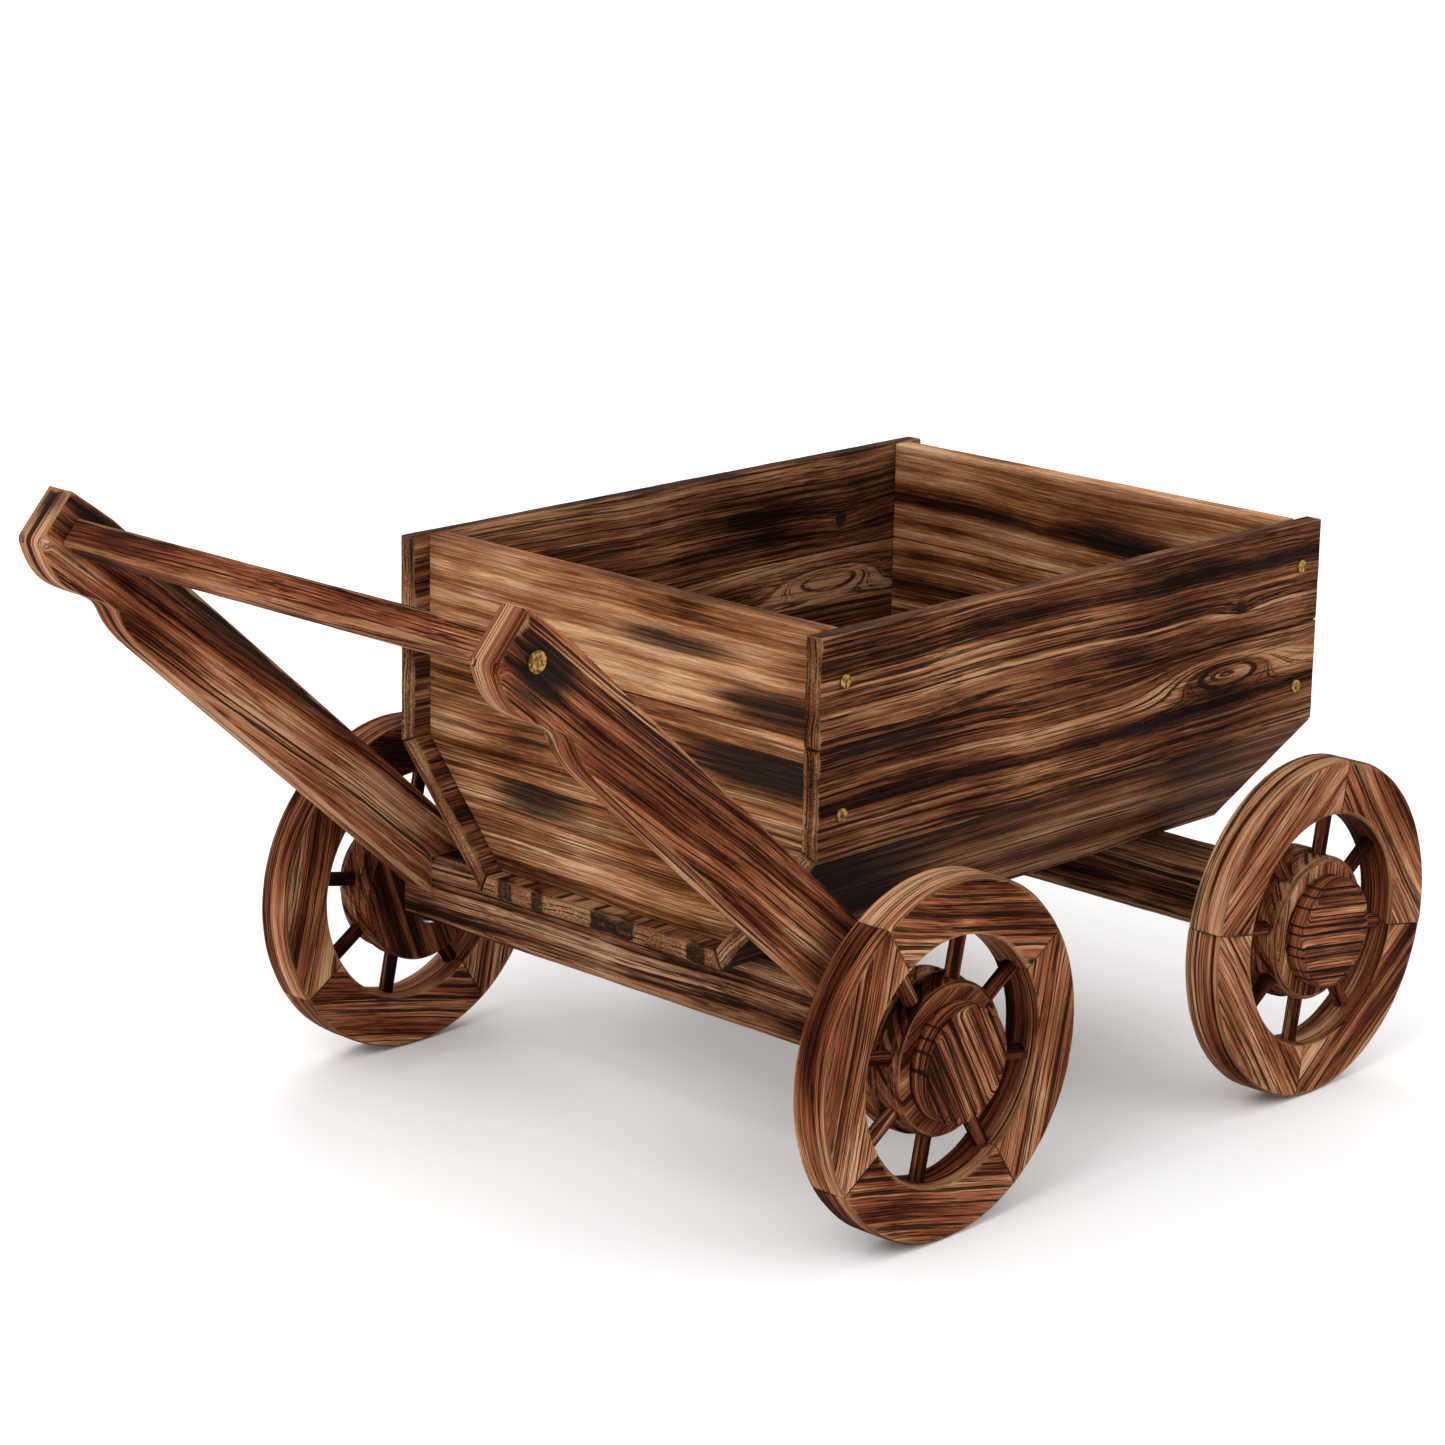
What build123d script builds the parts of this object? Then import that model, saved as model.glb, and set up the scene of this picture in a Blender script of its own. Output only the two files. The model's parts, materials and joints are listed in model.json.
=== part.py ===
from build123d import *

import os
from math import cos, hypot, radians, sin

# A wooden garden wagon planter: a six-sided plank trough on two cross beams, four rolling
# spoked wheels, and two raked arms joined by a crossbar to push or pull it by.
# Millimetres. +X runs from the handle to the rear, +Y is the left side, +Z is up.
# The origin is on the ground, under the middle of the whole wagon.

os.makedirs("parts", exist_ok=True)

# ---- driving dimensions: trough ----
trough_length = 454.0
trough_width = 340.0        # outside the upright sides
floor_width = 199.0         # outside the floor, across the two lower corners
side_rise = 127.5           # upright part of the sides
hopper_rise = 79.0          # slanting part below it
plank_thickness = 12.0
side_joint_rise = 64.0      # joint between the two side planks, above the bend
panel_thickness = 15.0
panel_recess = 12.0         # the end panels stand this far in from the plank ends
drain_diameter = 12.0
drain_count = 4

# ---- driving dimensions: wheels and running gear ----
wheel_radius = 105.0
felly_width = 33.5          # radial
felly_thickness = 24.6
felly_inset = 9.0           # from the hub's inner face to the rim's inner face
felly_chamfer = 1.0
felly_count = 4
spoke_count = 8
spoke_diameter = 9.0
spoke_socket_depth = 12.0
inner_disc_radius = 47.0
inner_disc_thickness = 15.0
outer_disc_radius = 45.0
outer_disc_thickness = 16.0
cap_radius = 34.5
cap_thickness = 12.0
disc_chamfer = 2.0
nut_pocket_radius = 11.0
nut_pocket_depth = 9.5
front_axle_inset = 47.5     # from the trough's front end
rear_axle_inset = 64.5      # from the trough's rear end
axle_diameter = 8.0
nut_across_flats = 13.0
nut_thickness = 6.5
washer_diameter = 16.0
washer_thickness = 1.5

# ---- driving dimensions: beams ----
beam_width = 40.0
beam_rise = 29.5            # top of the beam above the axle
beam_drop = 14.0            # underside of the beam below the axle
beam_overhang = 4.7         # past the arm's outer face
beam_chamfer = 4.0

# ---- driving dimensions: handle ----
arm_slope = 41.5            # degrees
arm_length = 405.0          # along the top edge, from the foot to the grip end
arm_width = 43.0            # at the foot
arm_thickness = 21.0
arm_gap = 2.5               # between an arm and the trough's side
grip_taper_length = 35.0
grip_taper_drop = 3.5
grip_end_depth = 34.0
grip_corner_radius = 7.0
grip_corner_turn = 60.0     # degrees
pommel_at = 30.0
pommel_depth = 47.5
waist_at = 65.0
waist_depth = 38.5
shoulder_at = 105.0
shoulder_depth = 45.5       # the arm narrows from here to its foot
crossbar_side = 18.0
crossbar_chamfer = 1.5
crossbar_at = 21.0
crossbar_depth = 21.2

# ---- driving dimensions: fasteners and fits ----
panel_screw_drops = (27.0, 103.0)   # below the trough's top edge
panel_screw_length = 38.0
panel_screw_diameter = 4.0
panel_screw_head = 8.0
handle_screw_length = 55.0
handle_screw_diameter = 5.0
handle_screw_head = 12.0
beam_screw_bite = 9.0       # how far a beam screw enters the floor
arm_screw_bite = 18.0
beam_screw_diameter = 5.0
beam_screw_head = 10.0
beam_screw_offset = 12.0    # from the axle line, so that a screw passes the axle
beam_screw_spread = 60.0    # from the wagon's centre plane
screw_head_height = 1.2
running_clearance = 0.05    # hub on axle, radial
end_play = 0.3              # hub between its washers
socket_clearance = 0.1      # screws and spokes in their holes, radial

# ---- heights ----
axle_height = wheel_radius
beam_top = axle_height + beam_rise
beam_bottom = axle_height - beam_drop
floor_bottom = beam_top
bend_height = floor_bottom + hopper_rise
trough_top = bend_height + side_rise
joint_height = bend_height + side_joint_rise

# ---- widths, from the centre plane outwards ----
arm_inner = trough_width / 2 + arm_gap
arm_outer = arm_inner + arm_thickness
beam_end = arm_outer + beam_overhang
hub_inner = beam_end + washer_thickness + end_play
disc_joint = hub_inner + inner_disc_thickness
hub_outer = disc_joint + outer_disc_thickness
rim_inner = hub_inner + felly_inset
spoke_line = rim_inner + felly_thickness / 2
nut_seat = hub_outer - nut_pocket_depth
outer_washer = nut_seat + end_play
axle_end = outer_washer + washer_thickness + nut_thickness + end_play

# ---- stations along the wagon, from the trough's front end ----
rake = radians(arm_slope)
foot_station = front_axle_inset + beam_width / 2
grip_station = foot_station - arm_length * cos(rake)
grip_corner_station = (grip_station + grip_corner_radius * cos(rake)
                       - grip_end_depth * sin(rake) - grip_corner_radius)
rear_axle_station = trough_length - rear_axle_inset
rearmost_station = max(trough_length, rear_axle_station + wheel_radius)

# ---- the same stations in X, with the whole wagon centred on the origin ----
front_end = -(grip_corner_station + rearmost_station) / 2
rear_end = front_end + trough_length
front_axle = front_end + front_axle_inset
rear_axle = front_end + rear_axle_station
grip_x = front_end + grip_station
grip_z = beam_top + arm_length * sin(rake)

SIDES = {"left": 1, "right": -1}
AXLES = {"front": front_axle, "rear": rear_axle}
ENDS = {"front": front_end + panel_recess, "rear": rear_end - panel_recess - panel_thickness}


def finish(builder, name):
    """Label one finished sub-part and write its STEP file."""
    builder.part.label = name
    export_step(builder.part, f"parts/{name}.step")


def drill(plane, diameter, depth):
    """Bore a hole from a plane's origin along its normal in the part being built."""
    with BuildSketch(plane) as hole:
        Circle(diameter / 2 + socket_clearance)
    extrude(hole.sketch, amount=depth, mode=Mode.SUBTRACT)


# ---- trough section: outer corners, and the same corners moved in by the plank thickness ----
slant_y = (trough_width - floor_width) / 2
slant = hypot(slant_y, hopper_rise)
inward_side = Vector(-1, 0)
inward_slant = Vector(-hopper_rise / slant, slant_y / slant)
inward_floor = Vector(0, 1)


def mitre(corner, first, second):
    """The inner corner where two planks meet, from the inward normals of the two."""
    return corner + (first + second) * (plank_thickness / (1 + first.dot(second)))


top_outer = Vector(trough_width / 2, trough_top)
top_inner = top_outer + inward_side * plank_thickness
joint_outer = Vector(trough_width / 2, joint_height)
joint_inner = joint_outer + inward_side * plank_thickness
bend_outer = Vector(trough_width / 2, bend_height)
bend_inner = mitre(bend_outer, inward_side, inward_slant)
foot_outer = Vector(floor_width / 2, floor_bottom)
foot_inner = mitre(foot_outer, inward_slant, inward_floor)


def flip(point):
    """The same section point on the other side of the wagon."""
    return Vector(-point.X, point.Y)


def section_plane(x):
    """A plane across the wagon: its own x is +Y and its own y is +Z."""
    return Plane(origin=(x, 0, 0), x_dir=(0, 1, 0), z_dir=(1, 0, 0))


def panel_screw_plane(end, side, drop):
    """Where a panel screw enters the side plank, pointing inwards."""
    x = ENDS[end] + panel_thickness / 2
    y = side * trough_width / 2
    return Plane(origin=(x, y, trough_top - drop), x_dir=(1, 0, 0), z_dir=(0, -side, 0))


def drill_panel_screws(side, drops):
    """The two rows of panel screw holes that belong to one board."""
    for end in ENDS:
        for drop in drops:
            drill(panel_screw_plane(end, side, drop), panel_screw_diameter, panel_screw_length)


# ---- trough: side planks and slanting planks ----
side_profiles = {
    "side_plank_upper": ((top_outer, joint_outer, joint_inner, top_inner), panel_screw_drops[:1]),
    "side_plank_lower": ((joint_outer, bend_outer, bend_inner, joint_inner), panel_screw_drops[1:]),
    "hopper_plank": ((bend_outer, foot_outer, foot_inner, bend_inner), ()),
}
for side_name, side in SIDES.items():
    for plank_name, (corners, drops) in side_profiles.items():
        placed = corners if side > 0 else [flip(corner) for corner in corners]
        with BuildPart() as plank:
            with BuildSketch(section_plane(front_end)):
                with BuildLine():
                    Polyline(*placed, close=True)
                make_face()
            extrude(amount=trough_length)
            drill_panel_screws(side, drops)
        finish(plank, f"{plank_name}_{side_name}")

# ---- trough: floor board, with drain holes between the beams and the beam screws' holes ----
drain_spacing = (rear_axle - front_axle - beam_width) / (drain_count + 1)


def beam_screw_plane(axle, y):
    """Where a floor screw enters a beam's underside, pointing up."""
    return Plane(origin=(axle + beam_screw_offset, y, beam_bottom))


def arm_screw_plane(side):
    """Where an arm's screw enters the front beam's underside, pointing up."""
    y = side * (arm_inner + arm_outer) / 2
    return Plane(origin=(front_axle - beam_screw_offset, y, beam_bottom))


beam_screw_length = beam_top - beam_bottom + beam_screw_bite
arm_screw_length = beam_top - beam_bottom + arm_screw_bite

with BuildPart() as floor_board:
    with BuildSketch(section_plane(front_end)):
        with BuildLine():
            Polyline(foot_outer, foot_inner, flip(foot_inner), flip(foot_outer), close=True)
        make_face()
    extrude(amount=trough_length)
    with BuildSketch(Plane.XY.offset(floor_bottom)):
        with Locations(((front_axle + rear_axle) / 2, 0)):
            with GridLocations(drain_spacing, 0, drain_count, 1):
                Circle(drain_diameter / 2)
    extrude(amount=plank_thickness, mode=Mode.SUBTRACT)
    for axle in AXLES.values():
        for side in SIDES.values():
            screw_plane = beam_screw_plane(axle, side * beam_screw_spread)
            drill(screw_plane, beam_screw_diameter, beam_screw_length)
finish(floor_board, "floor_board")

# ---- trough: end panels, three boards each, standing between the planks ----
panel_boards = {
    "upper": (joint_height, trough_top),
    "middle": (bend_height, joint_height),
    "lower": (floor_bottom, bend_height),
}
for end, x in ENDS.items():
    for board_name, (low, high) in panel_boards.items():
        with BuildPart() as board:
            with BuildSketch(section_plane(x)):
                with BuildLine():
                    right_corners = [flip(corner) for corner in (foot_inner, bend_inner, top_inner)]
                    Polyline(top_inner, bend_inner, foot_inner, *right_corners, close=True)
                make_face()
                with Locations((0, (low + high) / 2)):
                    Rectangle(trough_width, high - low, mode=Mode.INTERSECT)
            extrude(amount=panel_thickness)
            for side in SIDES.values():
                for drop in panel_screw_drops:
                    if low < trough_top - drop < high:
                        screw_plane = panel_screw_plane(end, side, drop)
                        drill(screw_plane, panel_screw_diameter, panel_screw_length)
        finish(board, f"end_panel_{end}_{board_name}")


def outward_plane(axle, side, distance):
    """A plane square to an axle, at a distance from the centre plane, facing outwards."""
    return Plane(origin=(axle, side * distance, axle_height), x_dir=(1, 0, 0), z_dir=(0, side, 0))


# ---- cross beams: the trough's floor rests on them and the axles pass through them ----
for axle_name, axle in AXLES.items():
    with BuildPart() as beam:
        with BuildSketch(outward_plane(axle, 1, -beam_end)):
            with Locations((0, (beam_drop - beam_rise) / 2)):
                Rectangle(beam_width, beam_rise + beam_drop)
        extrude(amount=2 * beam_end)
        chamfer(beam.edges().filter_by(Axis.Y), beam_chamfer)
        with BuildSketch(outward_plane(axle, 1, -beam_end)):
            Circle(axle_diameter / 2 + running_clearance)
        extrude(amount=2 * beam_end, mode=Mode.SUBTRACT)
        for side in SIDES.values():
            screw_plane = beam_screw_plane(axle, side * beam_screw_spread)
            drill(screw_plane, beam_screw_diameter, beam_screw_length)
            if axle_name == "front":
                drill(arm_screw_plane(side), beam_screw_diameter, arm_screw_length)
    finish(beam, f"{axle_name}_beam")

# ---- axles: a rod through each beam, with a washer each side of every hub and a nut outside ----
for axle_name, axle in AXLES.items():
    with BuildPart() as rod:
        with BuildSketch(outward_plane(axle, 1, -axle_end)):
            Circle(axle_diameter / 2)
        extrude(amount=2 * axle_end)
    finish(rod, f"{axle_name}_axle")

rod_hole_radius = axle_diameter / 2 + running_clearance
with BuildPart() as axle_washers:
    for axle in AXLES.values():
        for side in SIDES.values():
            for seat in (beam_end, outer_washer):
                with BuildSketch(outward_plane(axle, side, seat)):
                    Circle(washer_diameter / 2)
                    Circle(rod_hole_radius, mode=Mode.SUBTRACT)
                extrude(amount=washer_thickness)
finish(axle_washers, "axle_washers")

with BuildPart() as axle_nuts:
    for axle in AXLES.values():
        for side in SIDES.values():
            with BuildSketch(outward_plane(axle, side, outer_washer + washer_thickness)):
                RegularPolygon(nut_across_flats / 2, 6, major_radius=False)
                Circle(rod_hole_radius, mode=Mode.SUBTRACT)
            extrude(amount=nut_thickness)
finish(axle_nuts, "axle_nuts")


# ---- wheels: four mitred fellies, dowel spokes, and a hub of two discs under a face cap ----
def spoke_plane(axle, side, angle, radius):
    """A plane across one spoke at a radius from the axle, facing away from it."""
    ray = Vector(cos(radians(angle)), 0, sin(radians(angle)))
    return Plane(origin=Vector(axle, side * spoke_line, axle_height) + ray * radius, z_dir=ray)


felly_inner_radius = wheel_radius - felly_width
felly_sweep = 360 / felly_count
spoke_step = 360 / spoke_count
spoke_start = outer_disc_radius - spoke_socket_depth
spoke_end = felly_inner_radius + spoke_socket_depth
# Each wheel has stopped at its own angle: the first felly joint, from +X towards +Z.
WHEEL_TURNS = {"front_left": 33, "front_right": 33, "rear_left": 55, "rear_right": 80}

for wheel_name, turn in WHEEL_TURNS.items():
    axle_name, side_name = wheel_name.split("_")
    axle = AXLES[axle_name]
    side = SIDES[side_name]
    spoke_angles = [turn + index * spoke_step for index in range(spoke_count)]

    for index in range(felly_count):
        first_angle = turn + index * felly_sweep
        with BuildPart() as felly:
            rim_plane = Plane(
                origin=(axle, side * rim_inner, axle_height), x_dir=(1, 0, 0), z_dir=(0, -1, 0))
            with BuildSketch(rim_plane):
                with BuildLine():
                    tread = CenterArc((0, 0), wheel_radius, first_angle, felly_sweep)
                    bore = CenterArc((0, 0), felly_inner_radius, first_angle, felly_sweep)
                    Line(tread @ 0, bore @ 0)
                    Line(tread @ 1, bore @ 1)
                make_face()
            extrude(amount=-side * felly_thickness)
            chamfer(felly.edges().filter_by(GeomType.CIRCLE), felly_chamfer)
            for angle in spoke_angles:
                if (angle - first_angle) % 360 <= felly_sweep:
                    socket_plane = spoke_plane(axle, side, angle, felly_inner_radius / 2)
                    drill(socket_plane, spoke_diameter, spoke_end - felly_inner_radius / 2)
        finish(felly, f"wheel_{wheel_name}_felly_{index + 1}")

    with BuildPart() as spokes:
        for angle in spoke_angles:
            with BuildSketch(spoke_plane(axle, side, angle, spoke_start)):
                Circle(spoke_diameter / 2)
            extrude(amount=spoke_end - spoke_start)
    finish(spokes, f"wheel_{wheel_name}_spokes")

    with BuildPart() as inner_disc:
        with BuildSketch(outward_plane(axle, side, hub_inner)):
            Circle(inner_disc_radius)
            Circle(rod_hole_radius, mode=Mode.SUBTRACT)
        extrude(amount=inner_disc_thickness)
    finish(inner_disc, f"wheel_{wheel_name}_hub_inner")

    with BuildPart() as outer_disc:
        with BuildSketch(outward_plane(axle, side, disc_joint)):
            Circle(outer_disc_radius)
        extrude(amount=outer_disc_thickness)
        chamfer(outer_disc.faces().sort_by(Axis.Y)[-1 if side > 0 else 0].edges(), disc_chamfer)
        with BuildSketch(outward_plane(axle, side, disc_joint)):
            Circle(rod_hole_radius)
        extrude(amount=outer_disc_thickness, mode=Mode.SUBTRACT)
        with BuildSketch(outward_plane(axle, side, nut_seat)):
            Circle(nut_pocket_radius)
        extrude(amount=nut_pocket_depth, mode=Mode.SUBTRACT)
        for angle in spoke_angles:
            drill(spoke_plane(axle, side, angle, spoke_start), spoke_diameter, outer_disc_radius)
    finish(outer_disc, f"wheel_{wheel_name}_hub_outer")

    with BuildPart() as cap:
        with BuildSketch(outward_plane(axle, side, hub_outer)):
            Circle(cap_radius)
        extrude(amount=cap_thickness)
        chamfer(cap.faces().sort_by(Axis.Y)[-1 if side > 0 else 0].edges(), felly_chamfer)
    finish(cap, f"wheel_{wheel_name}_hub_cap")


# ---- handle: two raked arms notched over the front beam, joined by a crossbar ----
def handle_plane(y):
    """A plane along an arm: its own x runs down the top edge and its own y is the depth below it."""
    return Plane(origin=(grip_x, y, grip_z), x_dir=(cos(rake), 0, -sin(rake)), z_dir=(0, 1, 0))


def handle_screw_plane(side):
    """Where a handle screw enters an arm's outer face, pointing inwards."""
    entry = handle_plane(side * arm_outer).from_local_coords(Vector(crossbar_at, crossbar_depth))
    return Plane(origin=entry, x_dir=(1, 0, 0), z_dir=(0, -side, 0))


arm_run = arm_length + arm_width
for side_name, side in SIDES.items():
    low_face = min(side * arm_inner, side * arm_outer)
    with BuildPart() as arm:
        with BuildSketch(handle_plane(low_face)):
            with BuildLine():
                end_cut = Line((0, grip_taper_drop), (0, grip_end_depth))
                foot_edge = Line((shoulder_at, shoulder_depth), (arm_run, arm_width))
                corner = JernArc(end_cut @ 1, end_cut % 1, grip_corner_radius, -grip_corner_turn)
                Spline(
                    corner @ 1, (pommel_at, pommel_depth), (waist_at, waist_depth),
                    (shoulder_at, shoulder_depth),
                    tangents=[corner % 1, foot_edge % 0])
                Polyline((arm_run, arm_width), (arm_run, 0), (grip_taper_length, 0))
                Line((grip_taper_length, 0), end_cut @ 0)
            make_face()
        extrude(amount=arm_thickness)
        with BuildSketch(Plane(origin=(front_axle, low_face, beam_top), x_dir=(1, 0, 0), z_dir=(0, 1, 0))):
            with Locations((-beam_width / 2, 0)):
                Rectangle(arm_run, arm_run, align=(Align.MIN, Align.MIN))
        extrude(amount=arm_thickness, mode=Mode.SUBTRACT)
        drill(handle_screw_plane(side), handle_screw_diameter, arm_thickness)
        drill(arm_screw_plane(side), beam_screw_diameter, arm_screw_length)
    finish(arm, f"handle_arm_{side_name}")

with BuildPart() as crossbar:
    with BuildSketch(handle_plane(-arm_inner)):
        with Locations((crossbar_at, crossbar_depth)):
            Rectangle(crossbar_side, crossbar_side)
    extrude(amount=2 * arm_inner)
    chamfer(crossbar.edges().filter_by(Axis.Y), crossbar_chamfer)
    for side in SIDES.values():
        drill(handle_screw_plane(side), handle_screw_diameter, handle_screw_length)
finish(crossbar, "handle_crossbar")


# ---- screws: round heads with a cross recess, shanks in their holes ----
def screw(plane, diameter, length, head_diameter):
    """One screw, its head resting on the plane and its shank along the plane's normal."""
    with BuildSketch(plane) as shank:
        Circle(diameter / 2)
    extrude(shank.sketch, amount=length)
    with BuildSketch(plane) as head:
        Circle(head_diameter / 2)
    extrude(head.sketch, amount=-screw_head_height)
    recess_length = head_diameter / 2
    recess_width = head_diameter / 8
    with BuildSketch(plane.offset(-screw_head_height / 2)) as recess:
        Rectangle(recess_length, recess_width)
        Rectangle(recess_width, recess_length)
    extrude(recess.sketch, amount=-screw_head_height, mode=Mode.SUBTRACT)


with BuildPart() as panel_screws:
    for end in ENDS:
        for side in SIDES.values():
            for drop in panel_screw_drops:
                entry_plane = panel_screw_plane(end, side, drop)
                screw(entry_plane, panel_screw_diameter, panel_screw_length, panel_screw_head)
finish(panel_screws, "panel_screws")

with BuildPart() as handle_screws:
    for side in SIDES.values():
        entry_plane = handle_screw_plane(side)
        screw(entry_plane, handle_screw_diameter, handle_screw_length, handle_screw_head)
finish(handle_screws, "handle_screws")

with BuildPart() as beam_screws:
    for axle in AXLES.values():
        for side in SIDES.values():
            entry_plane = beam_screw_plane(axle, side * beam_screw_spread)
            screw(entry_plane, beam_screw_diameter, beam_screw_length, beam_screw_head)
finish(beam_screws, "beam_screws")

with BuildPart() as arm_screws:
    for side in SIDES.values():
        screw(arm_screw_plane(side), beam_screw_diameter, arm_screw_length, beam_screw_head)
finish(arm_screws, "arm_screws")
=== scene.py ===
import json
from itertools import count
from math import atan2, cos, pi, radians, sin

import bmesh
import bpy
import numpy as np
from mathutils import Matrix, Vector


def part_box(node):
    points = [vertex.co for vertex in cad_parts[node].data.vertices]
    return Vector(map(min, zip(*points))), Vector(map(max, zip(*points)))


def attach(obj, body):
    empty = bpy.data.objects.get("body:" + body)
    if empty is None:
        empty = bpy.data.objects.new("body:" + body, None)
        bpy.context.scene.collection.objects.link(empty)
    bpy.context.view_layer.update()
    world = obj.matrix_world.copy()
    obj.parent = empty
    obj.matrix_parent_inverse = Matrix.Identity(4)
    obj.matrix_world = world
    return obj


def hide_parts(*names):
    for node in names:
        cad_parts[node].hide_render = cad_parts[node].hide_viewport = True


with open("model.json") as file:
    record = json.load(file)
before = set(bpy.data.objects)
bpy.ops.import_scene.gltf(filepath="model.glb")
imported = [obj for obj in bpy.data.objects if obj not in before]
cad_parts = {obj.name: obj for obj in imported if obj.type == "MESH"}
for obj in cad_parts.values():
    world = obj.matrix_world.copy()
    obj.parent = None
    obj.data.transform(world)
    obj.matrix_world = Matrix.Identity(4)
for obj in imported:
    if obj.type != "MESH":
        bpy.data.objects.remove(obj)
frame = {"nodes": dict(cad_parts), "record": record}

# A scorched and brushed fir garden wagon. Every timber is a copy of its CAD solid with eased
# arrises and brushed relief, and carries its own grain: where the rings run, how far the arris is
# sanded, where the flame stayed longest and where shade is painted into the recesses are stored
# on the mesh, and the wood shader reads them.

MM = 0.001
NODES = frame["nodes"]
BODIES = {
    node: body
    for body, nodes in frame["record"]["behaviour"]["bodies"].items() for node in nodes}
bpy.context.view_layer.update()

X, Y, Z = Vector((1, 0, 0)), Vector((0, 1, 0)), Vector((0, 0, 1))


def middle(node):
    """The centre of a CAD node's box."""
    low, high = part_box(node)
    return (low + high) / 2


# ---- camera: the photograph's perspective, looking at a point by the trough's front end ----
trough_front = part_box("side_plank_upper_right")[0].x
VIEW_AZIMUTH = radians(-46.27)
VIEW_ELEVATION = radians(15.26)
VIEW_ROLL = radians(1.09)
VIEW_DISTANCE = 2.3164
VIEW_LENS = 103.84
SENSOR_WIDTH = 36
look_at = Vector((trough_front + 0.0051, -0.0925, 0.2776))

toward_camera = Vector((
    sin(VIEW_AZIMUTH) * cos(VIEW_ELEVATION),
    -cos(VIEW_AZIMUTH) * cos(VIEW_ELEVATION),
    sin(VIEW_ELEVATION)))
level_right = Z.cross(toward_camera).normalized()
level_up = toward_camera.cross(level_right)
camera_right = level_right * cos(VIEW_ROLL) + level_up * sin(VIEW_ROLL)
camera_up = level_up * cos(VIEW_ROLL) - level_right * sin(VIEW_ROLL)
camera_data = bpy.data.cameras.new("camera")
camera_data.lens = VIEW_LENS
camera_data.sensor_width = SENSOR_WIDTH
camera_data.clip_end = 50
camera = bpy.data.objects.new("camera", camera_data)
camera_turn = Matrix((camera_right, camera_up, toward_camera)).transposed().to_4x4()
camera.matrix_world = Matrix.Translation(look_at + toward_camera * VIEW_DISTANCE) @ camera_turn
bpy.context.scene.collection.objects.link(camera)
bpy.context.scene.camera = camera


# ---- node-tree helper ----
def linear(code):
    """A colour written as sRGB hex, as linear RGBA."""
    values = [int(code[i:i + 2], 16) / 255 for i in (0, 2, 4)]
    shares = [v / 12.92 if v <= 0.04045 else ((v + 0.055) / 1.055) ** 2.4 for v in values]
    return (*shares, 1.0)


class Shader:
    """A material's node tree, built by short calls that return output sockets."""

    def __init__(self, name):
        self.material = bpy.data.materials.new(name)
        self.material.use_nodes = True
        self.tree = self.material.node_tree
        self.surface = self.tree.nodes["Principled BSDF"]

    def feed(self, socket, value):
        """Links an output socket to an input, or sets a plain value on it."""
        if isinstance(value, bpy.types.NodeSocket):
            self.tree.links.new(value, socket)
        else:
            socket.default_value = value

    def attribute(self, name, output="Fac"):
        """What the mesh stores under a name."""
        node = self.tree.nodes.new("ShaderNodeAttribute")
        node.attribute_name = name
        return node.outputs[output]

    def maths(self, operation, first, second=0.0):
        """One arithmetic step."""
        node = self.tree.nodes.new("ShaderNodeMath")
        node.operation = operation
        self.feed(node.inputs[0], first)
        self.feed(node.inputs[1], second)
        return node.outputs[0]

    def stretched(self, vector, scale):
        """A vector with each part scaled by its own factor."""
        node = self.tree.nodes.new("ShaderNodeVectorMath")
        node.operation = "MULTIPLY"
        self.feed(node.inputs[0], vector)
        node.inputs[1].default_value = scale
        return node.outputs[0]

    def noise(self, place, detail, roughness=0.5, over_number=False):
        """Noise over a vector, or over one number: a ring radius gives rings of uneven width."""
        node = self.tree.nodes.new("ShaderNodeTexNoise")
        node.noise_dimensions = "1D" if over_number else "3D"
        self.feed(node.inputs["W" if over_number else "Vector"], place)
        node.inputs["Scale"].default_value = 1.0
        node.inputs["Detail"].default_value = detail
        node.inputs["Roughness"].default_value = roughness
        return node.outputs[0]

    def ramp(self, value, low, high, start=0.0, end=1.0):
        """A smooth step from start to end as value goes from low to high."""
        node = self.tree.nodes.new("ShaderNodeMapRange")
        node.interpolation_type = "SMOOTHSTEP"
        names = ("Value", "From Min", "From Max", "To Min", "To Max")
        for name, number in zip(names, (value, low, high, start, end)):
            self.feed(node.inputs[name], number)
        return node.outputs[0]

    def colours(self, value, codes):
        """A colour ramp from 0 to 1 through evenly spaced hex colours."""
        node = self.tree.nodes.new("ShaderNodeValToRGB")
        self.feed(node.inputs[0], value)
        elements = node.color_ramp.elements
        while len(elements) < len(codes):
            elements.new(0.5)
        for index, (element, code) in enumerate(zip(elements, codes)):
            element.position = index / (len(codes) - 1)
            element.color = linear(code)
        return node.outputs[0]

    def mix(self, share, first, second):
        """Two colours mixed by a share."""
        node = self.tree.nodes.new("ShaderNodeMix")
        node.data_type = "RGBA"
        first_colour, second_colour = [s for s in node.inputs if s.type == "RGBA"]
        self.feed(node.inputs[0], share)
        self.feed(first_colour, first)
        self.feed(second_colour, second)
        return next(s for s in node.outputs if s.type == "RGBA")

    def bump(self, height, distance, strength):
        """Bumps of a height, where one stands for a distance in metres."""
        node = self.tree.nodes.new("ShaderNodeBump")
        self.feed(node.inputs["Height"], height)
        node.inputs["Distance"].default_value = distance
        node.inputs["Strength"].default_value = strength
        self.feed(self.surface.inputs["Normal"], node.outputs[0])

    def set(self, **values):
        """Values or sockets for the surface's own inputs, with spaces written as underscores."""
        for name, value in values.items():
            self.feed(self.surface.inputs[name.replace("_", " ")], value)


# ---- wood ----
LATE_WOOD = "0e0603"
# the char colours, which also paint the shade in the recesses
DEEP_CHAR_AND_SHADE_COLOUR = "0b0808"
CHAR_AND_SHADE_COLOUR = "2b221e"
SANDED = "a87a52"
LIFT = 0.08             # of every timber's tone
RING_WOBBLE = 3.0       # millimetres

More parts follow.
